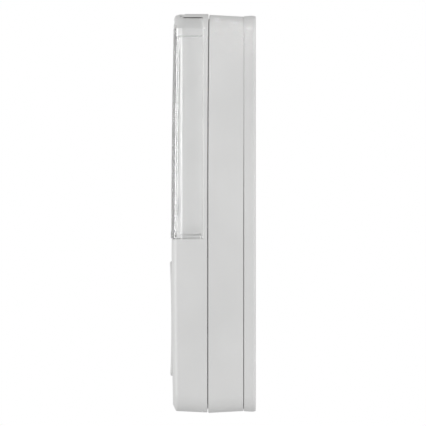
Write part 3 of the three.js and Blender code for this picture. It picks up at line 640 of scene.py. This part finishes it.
def rear_shell():
    """The rear housing, with its terminal pocket, screw towers and a tongue into the front housing."""
    wall, back_wall_y = 2.0, -5.9
    tower_r, boss_r, head_r = 4.2, 4.4, 3.1

    def level_at(y, inset, bend=None):
        return shell_ring(y, inset, REAR_RISE, bend=bend)

    outer = stack(
        "rear_shell",
        [
            level_at(REAR_BACK_Y, REAR_BACK_INSET + 0.2, joint_bend),
            level_at(REAR_BACK_Y - 0.06, REAR_BACK_INSET + 0.06, joint_bend),
            level_at(REAR_BACK_Y - 0.2, REAR_BACK_INSET, joint_bend),
            level_at(REAR_FRONT_Y + 0.3, REAR_FRONT_INSET, gap_bend),
            level_at(REAR_FRONT_Y + 0.12, REAR_FRONT_INSET + 0.06, gap_bend),
            level_at(REAR_FRONT_Y + 0.02, REAR_FRONT_INSET + 0.2, gap_bend),
            level_at(REAR_FRONT_Y, REAR_FRONT_INSET + 0.45, gap_bend),
        ],
    )
    hollow = stack(
        "hollow",
        [level_at(back_wall_y, REAR_BACK_INSET + wall), level_at(REAR_FRONT_Y - 1, wall + 0.1)],
    )
    tongue = shape(
        stack("tongue", [level_at(-13.8, 1.5), level_at(-15.98, 1.45, gap_bend)]),
        ("cut", stack("inside", [level_at(-13, 3.6), level_at(-17, 3.6)])),
    )
    (z0, z1), w = POCKET_Z, POCKET_WALL
    x = POCKET_X + 0.4
    pocket_body = box((-x, x), (POCKET_Y - w, REAR_BACK_Y - 0.02), (z0 - w, z1 + w))
    pocket = box((-POCKET_X, POCKET_X), (POCKET_Y, REAR_BACK_Y + 1), (z0, z1))
    towers = [rod("y", tower_r, (-16.6, REAR_BACK_Y - 0.01), s, 32) for s in CASE_SCREWS]
    tower_holes = [rod("y", head_r, (-7, REAR_BACK_Y + 1), s, 32) for s in CASE_SCREWS]
    tower_holes += [rod("y", 1.9, (-17, -6), s, 24) for s in CASE_SCREWS]
    captive = [(-CAPTIVE_X, CAPTIVE_Y), (CAPTIVE_X, CAPTIVE_Y)]
    bosses = [rod("z", boss_r, (-65.4, -59.6), s, 32) for s in captive]
    boss_holes = [rod("z", head_r, (-67, -62.9), s, 40) for s in captive]
    boss_holes += [rod("z", 1.8, (-63.5, -59), s, 24) for s in captive]
    through = (back_wall_y - 1, REAR_BACK_Y + 1)
    slots = [box((x - 3.6, x + 3.6), through, (53.6, 56.4)) for x in (-HOOK_X, HOOK_X)]
    slots += [box((x - 4, x + 4), through, (-58.8, -52.8)) for x in (-CAPTIVE_X, CAPTIVE_X)]
    blade_y, blade_z = (POCKET_Y - w - 1, POCKET_Y + 1), (BLADE_Z[0] - 0.9, BLADE_Z[1] + 0.9)
    slots += [box((x - 0.9, x + 0.9), blade_y, blade_z) for x in TERMINAL_XS]
    shell = shape(
        outer,
        ("cut", hollow),
        ("add", [tongue, pocket_body, *towers, *bosses]),
        ("cut", [pocket, *tower_holes, *boss_holes, *slots]),
    )
    return dress(smooth(shell), "housing", replaces=["rear_housing"])


def wall_shell():
    """The wall plate, with the marks of its mould on the back."""
    rim, back_r = 2.2, 1.4

    def eased_ring(y, ease):
        """The outline with its rear edge eased inwards, but only a quarter as much at the ends."""
        top = HEIGHT / 2 - INSET_WALL - ease
        return [
            (x, y, z + math.copysign(0.75 * ease * smoothstep(abs(z), top - CORNER_R, top), z))
            for x, y, z in shell_ring(y, INSET_WALL + ease, PLATE_RISE)
        ]

    rings = [
        eased_ring(-back_r * (1 - math.sin(a)), back_r * (1 - math.cos(a)))
        for a in between(math.pi / 2, 0, 6)
    ]
    levels = [
        (PLATE_FRONT_Y + 0.2, INSET_SEAM),
        (PLATE_FRONT_Y + 0.05, INSET_SEAM + 0.06),
        (PLATE_FRONT_Y, INSET_SEAM + 0.2),
    ]
    body = stack("wall_shell", rings + [shell_ring(y, inset, PLATE_RISE) for y, inset in levels])
    depths = (PLATE_FLOOR_Y, PLATE_FRONT_Y - 1)
    tray = stack("tray", [shell_ring(y, INSET_SEAM + rim, PLATE_RISE) for y in depths])
    added = []
    for x in (-HOOK_X, HOOK_X):
        added.append(box((x - 3, x + 3), (-8.6, PLATE_FLOOR_Y + 0.5), (54, 56)))
        added.append(box((x - 3, x + 3), (-8.6, -7), (55.5, 58)))
    for x in (-CAPTIVE_X, CAPTIVE_X):
        added.append(box((x - 3.5, x + 3.5), (-12.6, PLATE_FLOOR_Y + 0.5), (-58.3, -53.3)))

    def from_behind(width, height, radius, at, ease=0.35, depth=-5.0):
        """A hole through the plate that opens out at the back."""
        levels = [(1.0, -ease), (0.0, -ease), (-ease * 0.4, -ease * 0.35)]
        levels += [(-ease, 0.0), (depth, 0.0)]
        return tablet("hole", width, height, radius, levels, at, arc=8)

    cuts = [from_behind(40, 22, 3, (0, -20), 0.6)]
    cuts += [from_behind(9, 5, 2.49, (x, -20)) for x in (-30.15, 30.15)]
    cuts += [from_behind(5, 9, 2.49, (0, z)) for z in (42, -50)]
    cuts += [rod("z", 1.55, (-59, -52), (x, CAPTIVE_Y), 24) for x in (-CAPTIVE_X, CAPTIVE_X)]
    # Ejector pin marks, a tenth of a millimetre deep, and a panel line twice as deep
    for x, z in ((36, 58), (36, -58), (36, 18), (14, 22), (20, -44)):
        cuts += [rod("y", 2.0, (-0.12, 1), (side * x, z), 28) for side in (-1, 1)]
    groove_out = tablet("groove", 82, 124, 4, [(1, 0), (-0.25, 0)], arc=8)
    groove_in = tablet("groove", 80.8, 122.8, 3.4, [(2, 0), (-1, 0)], arc=8)
    cuts.append(shape(groove_out, ("cut", groove_in)))
    shell = shape(body, ("cut", tray), ("add", added), ("cut", cuts))
    return dress(smooth(shell), "wall_plate", replaces=["wall_plate"])


# ---- Flap ----


def side_block(side, ys, zs, radius, ease):
    """A thick part of the flap's side: a rounded block on its inner face, wider towards the wall it
    stands on."""
    (y0, y1), (z0, z1) = ys, zs
    corners = ((y1, z1, 1, 1), (y0, z1, -1, 1), (y0, z0, -1, -1), (y1, z0, 1, -1))
    levels = [(FLAP_SIDE_X, 0.0)]
    for a in between(0.35, math.pi / 2, 4):
        levels.append((FLAP_SIDE_X + ease * math.sin(a), ease * (1 - math.cos(a))))
    levels.append((FAR, ease))
    points = []
    for x, grow in levels:
        r = radius + grow
        for quarter, (cy, cz, sy, sz) in enumerate(corners):
            for a in between(0, math.pi / 2, 5):
                angle = a + quarter * math.pi / 2
                y, z = cy - sy * radius, cz - sz * radius
                points.append((side * x, y + r * math.cos(angle), z + r * math.sin(angle)))
    return solid("side_block", points, capped(len(points) // len(levels), len(levels)))


def flap_cover():
    """The clear flap: a front plate with side walls, a flange below, and thick ears and a split knuckle
    above."""

    def outer():
        return front_form(0, FLAP_Y, EDGE_R, FRONT_BACK_Y + 0.5)

    def inner():
        return front_form(FLAP_WALL, FLAP_Y + FLAP_WALL, EDGE_R - FLAP_WALL, FRONT_BACK_Y + 1)

    middle = (-FLAP_SIDE_X, FLAP_SIDE_X)
    extent = box((-FAR, FAR), (-FAR, FLAP_BACK_Y), (FLAP_BOTTOM_Z, FLAP_TOP_Z))
    knuckle = shape(rod("x", KNUCKLE_R, (-43, 43), (HINGE_Y, HINGE_Z), 40), ("keep", outer()))
    low, high = (FLAP_BOTTOM_Z, FLAP_BOTTOM_Z + FLAP_WALL), (EAR_Z - 2, FLAP_TOP_Z)
    ears = [
        shape(
            side_block(side, (-40, FLAP_BACK_Y + 0.6), (EAR_Z, 80), 1.2, 0.6),
            ("keep", [outer(), box((-FAR, FAR), (-FAR, FLAP_BACK_Y), high)]),
        )
        for side in (-1, 1)
    ]
    flange = shape(outer(), ("keep", box((-FAR, FAR), (-FAR, RECESS_FACE_Y - 0.95), low)))
    feet = [
        shape(
            side_block(side, (-40, FLAP_BACK_Y - 0.5), (-80, low[1]), 0.5, 0.2),
            ("keep", [outer(), box((-FAR, FAR), (-FAR, FLAP_BACK_Y), low)]),
        )
        for side in (-1, 1)
    ]
    lip = shape(
        front_form(0, FLAP_Y - FLAP_LIP, EDGE_R, FRONT_BACK_Y + 0.5),
        ("keep", box((-FAR, FAR), (-FAR, -24), (FLAP_BOTTOM_Z, FLAP_BOTTOM_Z + 2.2))),
        ("cut", inner()),
    )
    notches = boxes((LUG_X[0] - GAP, LUG_X[1] + GAP), (-FAR, -16), (HINGE_Z - 2.2, FAR + 20))
    flap = shape(
        outer(),
        ("cut", inner()),
        ("keep", extent),
        ("cut", box(middle, (-FAR, 0), (HINGE_Z, FAR + 20))),
        ("add", [knuckle, *ears, flange, *feet, lip]),
        ("cut", notches + pin_holes(FLAP_PIN_X, 20)),
    )
    flap.name = "flap_cover"
    return dress(smooth(flap, 35), "flap", "flap", ["flap"])


# ---- Controls ----


def finished(obj, name, slot, body="module", replaces=(), angle=28):
    obj.name = name
    return dress(smooth(obj, angle), slot, body, replaces)


def printed(name, outlines, y, body, thick=0.03):
    """Marks printed on a face that looks forward at depth y: each outline is a list of (x, z)."""
    points, faces = [], []
    for outline in outlines:
        n, first = len(outline), len(points)
        points += [(x, y + 0.1, z) for x, z in outline] + [(x, y - thick, z) for x, z in outline]
        faces += [tuple(first + corner for corner in face) for face in capped(n, 2)]
    return dress(solid(name, points, faces), None, body, material=INK)


def oblong(x, z, width, height):
    r = min(width, height) / 2 * 0.6
    return [(x + u, z + v) for u, v in ring_of(width, height, r, 4)]


def arrow(x, z, size, turn):
    """A triangle with eased corners, pointing up before it is turned, in quarters."""
    points = []
    c, s = math.cos(turn * math.pi / 2), math.sin(turn * math.pi / 2)
    for i in range(3):
        middle = math.pi / 2 + i * 2 * math.pi / 3
        for a in between(middle - math.pi / 3, middle + math.pi / 3, 4):
            u = size * 0.86 * math.cos(middle) + size * 0.14 * math.cos(a)
            v = size * 0.86 * math.sin(middle) + size * 0.14 * math.sin(a)
            points.append((x + u * c - v * s, z + u * s + v * c))
    return points


def dish(z):
    return -((z - DISH_Z) ** 2) / (2 * DISH_R)


def rocker_pad():
    """A broad pad, dished up and down, with an arrow sunk into each end. It rocks on the axle behind
    it."""
    back, size, at = -26.1, (ROCKER_W, ROCKER_H, ROCKER_R), (0, ROCKER_Z)
    pad = tablet("rocker_pad", *size, eased(back - 0.6, DISH_Y, 0.6, 6), at, dish, 8, 24)
    root = tablet("root", *size, [(back, 0.3), (back - 0.3, 0), (back - 1.0, 0)], at, arc=8)
    axle_lug = box((-8, 8), (-23.0, back - 0.3), (ROCKER_Z - 2.2, ROCKER_Z + 2.2))
    posts = [
        rod("y", 1.8, (back - 0.3, OVERRIDE_BACK), (0, ROCKER_Z + side * ROCKER_POST_Z), 24, 0.3)
        for side in (-1, 1)
    ]
    arrows = []
    for side, turn in ((1, 0), (-1, 2)):
        z = ROCKER_Z + side * 13.5
        arrows.append(prism(arrow(0, z, 2.6, turn), "y", (-32, DISH_Y + dish(z) + 0.28)))
    pad = shape(
        pad,
        ("add", [root, axle_lug, *posts]),
        ("cut", [rod("x", 1.3, (-20, 20), (ROCKER_AXLE_Y, ROCKER_Z), 28), *arrows]),
    )
    finished(pad, "rocker_pad", "rocker", "rocker_key", ["rocker_key"])


def override_button(side, name):
    """A round, dished key with a mark sunk into it."""
    r, edge, back, at = OVERRIDE_R, 0.45, -24.9, (side * OVERRIDE_X, OVERRIDE_Z)
    levels = eased(back, OVERRIDE_FRONT, edge, 5)
    for inset in between(0.8, 5.2, 11):
        t = (inset - edge) / (r - edge)
        levels.append((OVERRIDE_FRONT + 0.34 * smoothstep(t, 0, 1), inset))
    button = tablet("button", 2 * r, 2 * r, r, levels, at, arc=16)
    size = 2 * r + 1.6
    flange = tablet("flange", size, size, r + 0.8, [(back, 0), (-25.5, 0)], at, arc=16)
    stem = rod("y", 2, (-25, OVERRIDE_BACK), at, 24, 0.3)
    sunk = (-32, -27.4)
    if side < 0:
        mark = shape(rod("y", 1.7, sunk, at, 32), ("cut", rod("y", 1.2, (-33, -26), at, 32)))
    else:
        bar = [(at[0] + u, at[1] + v) for u, v in ring_of(0.5, 3.4, 0.24, 4)]
        mark = prism(bar, "y", sunk)
    button = shape(button, ("add", [flange, stem]), ("cut", mark))
    node = f"override_key_{name}"
    finished(button, f"override_button_{name}", "rocker", node, [node])


def program_button(index, x):
    """A pill-shaped key with a printed mark."""
    z = KEY_ROW_Z
    levels = eased(KEY_BACK, KEY_FRONT, 0.4, 5)
    cap = tablet("cap", KEY_W, KEY_H, KEY_H / 2 - 0.2, levels, (x, z), arc=12)
    levels = [(KEY_BACK, 0), (KEY_BACK - 0.9, 0)]
    flange = tablet("flange", KEY_W + 1.6, KEY_H + 1.6, 1.5, levels, (x, z))
    name = f"program_key_{index + 1}"
    finished(shape(cap, ("add", flange)), f"program_button_{index + 1}", "keys", name, [name])
    bar = oblong(x, z, 2.8, 0.55)
    plus = [bar] + [oblong(x, z + side * 0.84, 0.55, 1.1) for side in (-1, 1)]
    marks = [[bar], plus, [arrow(x + 0.3, z, 1.5, 1)], [arrow(x - 0.3, z, 1.5, 3)]]
    printed(f"program_mark_{index + 1}", marks[index], KEY_FRONT, name)


def slider_knob():
    """The slide's ribbed knob, with the shutter that closes its slot and the stem to the switch."""
    at = (SLIDER_X, KEY_ROW_Z)
    knob = tablet("knob", KNOB_W, KNOB_H, 0.8, eased(-22, KEY_FRONT, 0.3, 5), at, arc=8)
    shutter = tablet("shutter", 19, 8, 0.6, [(-21.7, 0), (-22.2, 0)], at)
    stem_x, stem_z = (SLIDER_X - 1.2, SLIDER_X + 1.2), (KEY_ROW_Z - 0.9, KEY_ROW_Z + 0.9)
    stem = box(stem_x, (-21.9, -20.2), stem_z)
    grooves = []
    for x in (SLIDER_X - 1.4, SLIDER_X, SLIDER_X + 1.4):
        front, deep = KEY_FRONT - 0.2, KEY_FRONT + 0.4
        plan = [(x - 0.42, front), (x + 0.42, front), (x + 0.22, deep), (x - 0.22, deep)]
        grooves.append(prism(plan, "z", (KEY_ROW_Z - 3, KEY_ROW_Z + 3)))
    knob = shape(knob, ("cut", grooves), ("add", [shutter, stem]))
    finished(knob, "slider_knob", "keys", "mode_slider", ["mode_slider"])


def slider_scale():
    """Three printed bars under the slide's slot, one for each place of the knob."""
    places = [(SLIDER_X + step * SLIDER_TRAVEL, KEY_ROW_Z - 4.4) for step in (-1, 0, 1)]
    printed("slider_scale", [oblong(x, z, 1.8, 0.5) for x, z in places], RECESS_FACE_Y, "module")


def indicator(side, name):
    """A milky light rod with a domed end."""
    r, front, dome = INDICATOR_R, -27.75, 0.45
    levels = [(-20.4, 0.15), (-20.55, 0)]
    for a in between(0, math.pi / 2, 7):
        levels.append((front + dome * (1 - math.sin(a)), r * 0.985 * (1 - math.cos(a))))
    lens = tablet("lens", 2 * r, 2 * r, r, levels, (side * INDICATOR_X, INDICATOR_Z), arc=10)
    node = f"indicator_lens_{name}"
    finished(lens, f"indicator_rod_{name}", "lens", "module", [node], 40)


# ---- Display ----


def display_pane():
    """The clear window, with a printed border behind its edge."""
    at, levels = (0, WINDOW_Z), eased(-23.95, RECESS_FACE_Y, 0.2, 3)
    pane = tablet("window_pane", WINDOW_W, WINDOW_H, 2, levels, at, arc=8)
    finished(pane, "window_pane", "window", "module", ["display_window"])
    levels = [(-23.7, 0), (-23.93, 0)]
    border = tablet("border", WINDOW_W - 0.4, WINDOW_H - 0.4, 1.8, levels, at, arc=8)
    inside = tablet("inside", 56.4, 32.4, 1.2, [(-22, 0), (-26, 0)], at, arc=8)
    border = shape(border, ("cut", inside))
    border.name = "window_border"
    dress(border, None, "module", material=BORDER)


SEGMENTS = {"0": "abcdef", "1": "bc", "3": "abgcd", "8": "abcdefg"}


def digit(x, z, width, height, lit):
    """Seven-segment outlines of a digit whose middle is at x, z."""
    w, h, t, gap = width / 2, height / 2, height * 0.105, height * 0.02

    def along(u0, v0, u1, v1):
        length = math.hypot(u1 - u0, v1 - v0)
        du, dv = (u1 - u0) / length, (v1 - v0) / length
        a, b, k = gap, length - gap, t / 2
        ends = [(a, 0), (a + k, k), (b - k, k), (b, 0), (b - k, -k), (a + k, -k)]
        return [(x + u0 + du * p - dv * q, z + v0 + dv * p + du * q) for p, q in ends]

    places = {
        "a": (-w, h, w, h), "b": (w, h, w, 0), "c": (w, 0, w, -h), "d": (-w, -h, w, -h),
        "e": (-w, 0, -w, -h), "f": (-w, h, -w, 0), "g": (-w, 0, w, 0),
    }
    return [along(*places[name]) for name in lit]


def lcd_marks():
    """The time, a row of bars for the days, and a scale of bars for the hours that are on."""
    time_z, days_z, hours_z = WINDOW_Z + 1.2, WINDOW_Z + 12.6, WINDOW_Z - 12.4
    today, thin = 3, 0.6
    outlines = []
    for x, number in zip((-16.5, -6.5, 6.5, 16.5), "1830"):
        outlines += digit(x, time_z, 6.4, 13.0, SEGMENTS[number])
    outlines += [oblong(0, time_z + dz, 1.3, 1.3) for dz in (-2.8, 2.8)]
    for day in range(7):
        outlines.append(oblong(-18 + 6 * day, days_z, 4.0, 1.5 if day == today else thin))
    for hour in range(24):
        on = 6 <= hour <= 8 or 17 <= hour <= 22
        outlines.append(oblong(-23 + 2 * hour, hours_z, 1.3, 3.0 if on else thin))
    marks = printed("lcd_marks", outlines, LCD_FACE_Y, "module", 0.04)
    marks.data.materials[0] = LCD_INK


front_shell()
rear_shell()
wall_shell()
flap_cover()
rocker_pad()
for side, name in ((-1, "left"), (1, "right")):
    override_button(side, name)
    indicator(side, name)
for index, x in enumerate(key_xs()):
    program_button(index, x)
slider_knob()
slider_scale()
display_pane()
lcd_marks()

# ---- CAD nodes that stay ----

slots = {row["node"]: row["material_slot"] for row in frame["record"]["subparts"]}
for node_name, obj in frame["nodes"].items():
    obj.data.materials.clear()
    obj.data.materials.append(MATERIALS[slots[node_name]])
    if obj.hide_render:
        continue
    weld = obj.modifiers.new("weld", "WELD")
    weld.merge_threshold = 0.002 * MM
    bevel = obj.modifiers.new("bevel", "BEVEL")
    bevel.width = (0.06 if "blade" in node_name or "screw" in node_name else 0.14) * MM
    bevel.segments = 2
    bevel.limit_method = "ANGLE"
    bevel.angle_limit = math.radians(40)
    weighted = obj.modifiers.new("weighted", "WEIGHTED_NORMAL")
    weighted.keep_sharp = True

# ---- Floor, light and camera ----


def floor():
    """A plain pale round floor, well below the object. The wall it hangs on isn't there."""
    radius, z, sides = 2500.0, -190.0, 96
    turns = [2 * math.pi * i / sides for i in range(sides)]
    points = [(radius * math.cos(a), radius * math.sin(a), z) for a in turns]
    obj = solid("floor", points, [tuple(range(sides))])
    n = Nodes("floor")
    n.base(n.noise(n.place(), 3.0), (0.86, 0.86, 0.86), (0.88, 0.88, 0.88))
    n.shader.inputs["Roughness"].default_value = 0.9
    obj.data.materials.append(n.material)


# Light from all round, below and above, and what a backdrop and a panel behind the camera add to it.
# The backdrop and the panel fade in between two values of a direction's X.
AMBIENT, BACKDROP, PANEL = (0.5, 0.57), 0.22, 0.75
BACKDROP_EDGE, PANEL_EDGE = (-0.97, -0.86), (0.9, 0.97)


def world():
    """White behind the object. As light, a little brighter from above, with a backdrop across from the
    camera that shows through what is clear, and a panel behind the camera."""
    made = bpy.data.worlds.new("studio")
    scene.world = made
    made.use_nodes = True
    tree = made.node_tree
    tree.nodes.clear()
    add, link = tree.nodes.new, tree.links.new

    where, split = add("ShaderNodeTexCoord"), add("ShaderNodeSeparateXYZ")
    link(where.outputs["Generated"], split.inputs["Vector"])
    x, z = split.outputs["X"], split.outputs["Z"]
    total = map_range(tree, z, *AMBIENT, -1.0, 1.0)
    behind = map_range(tree, x, BACKDROP, 0.0, *BACKDROP_EDGE)
    facing = map_range(tree, x, 0.0, PANEL, *PANEL_EDGE)
    for part in (behind, facing):
        both = add("ShaderNodeMath")
        both.operation = "ADD"
        link(total, both.inputs[0])
        link(part, both.inputs[1])
        total = both.outputs["Value"]
    light, seen = add("ShaderNodeBackground"), add("ShaderNodeBackground")
    link(total, light.inputs["Strength"])
    light.inputs["Color"].default_value = (1, 1, 1, 1)
    seen.inputs["Color"].default_value = (1, 1, 1, 1)
    seen.inputs["Strength"].default_value = 1.0
    path, mix = add("ShaderNodeLightPath"), add("ShaderNodeMixShader")
    out = add("ShaderNodeOutputWorld")
    link(path.outputs["Is Camera Ray"], mix.inputs["Fac"])
    link(light.outputs["Background"], mix.inputs[1])
    link(seen.outputs["Background"], mix.inputs[2])
    link(mix.outputs["Shader"], out.inputs["Surface"])


def softbox(name, place, target, size, power, spread=180):
    """A disc of light, or a rectangle if size is a pair. Places are in metres. spread, in degrees, is
    how far its light fans out."""
    lamp = bpy.data.lights.new(name, "AREA")
    if isinstance(size, tuple):
        lamp.shape = "RECTANGLE"
        lamp.size, lamp.size_y = size
    else:
        lamp.shape = "DISK"
        lamp.size = size
    lamp.energy = power
    lamp.spread = math.radians(spread)
    obj = bpy.data.objects.new(name, lamp)
    obj.location = place
    obj.rotation_euler = (Vector(target) - Vector(place)).to_track_quat("-Z", "Y").to_euler()
    scene.collection.objects.link(obj)


def camera():
    """Square on to the right-hand side, from far off, so that it shows almost no perspective."""
    lens, sensor, framed_mm = 500.0, 36.0, 141.1
    aim_y, aim_z = -0.014175, 0.000156
    data = bpy.data.cameras.new("camera")
    data.lens, data.sensor_width = lens, sensor
    obj = bpy.data.objects.new("camera", data)
    distance = cad_box[1].x - CORNER_R * MM + framed_mm * MM * lens / sensor
    obj.location = (distance, aim_y, aim_z)
    obj.rotation_euler = (math.pi / 2, 0, math.pi / 2)
    data.clip_start, data.clip_end = 0.1, 20
    scene.collection.objects.link(obj)
    scene.camera = obj


floor()
world()
softbox("key", (0.95, -1.8, 0.12), (0, 0, 0), 0.6, 12.0)
softbox("fill", (0.75, 1.9, 0.05), (0, 0, 0), 0.7, 12.5)
# A narrow fan of light on the top of the side
softbox("strip", (0.245, -0.0145, 0.2), (0.045, -0.0145, 0.0598), (0.04, 0.004), 0.0001, 3.2)
camera()
scene.view_settings.view_transform = "Standard"
# Light runs far along the inside of the flap
scene.cycles.max_bounces = 96
scene.cycles.glossy_bounces = 80
scene.cycles.transmission_bounces = 96
